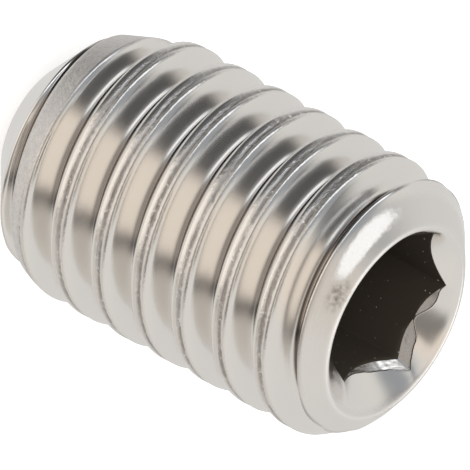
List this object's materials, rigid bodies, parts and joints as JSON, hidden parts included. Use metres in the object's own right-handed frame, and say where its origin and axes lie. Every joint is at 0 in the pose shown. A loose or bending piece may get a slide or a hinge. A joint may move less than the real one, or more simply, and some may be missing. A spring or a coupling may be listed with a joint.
{
  "type": "grub set screw",
  "caption": "Headless stainless steel set screw, threaded over its whole length, with a countersunk hexagon socket in one end and a cup point on the other.",
  "frame": {"origin": "centre of the cup's rim, on the plane that the screw stands on", "axes": "+Z along the screw's axis, from the cup point up to the socket face; +X through a corner of the hexagon"},
  "size_m": [0.0038, 0.0038, 0.0061],
  "materials": {
    "stainless_steel": "rolled and lightly polished stainless steel, with rough crests and a dark socket"
  },
  "bodies": {
    "root": {"set_screw": "stainless_steel"}
  },
  "joints": []
}
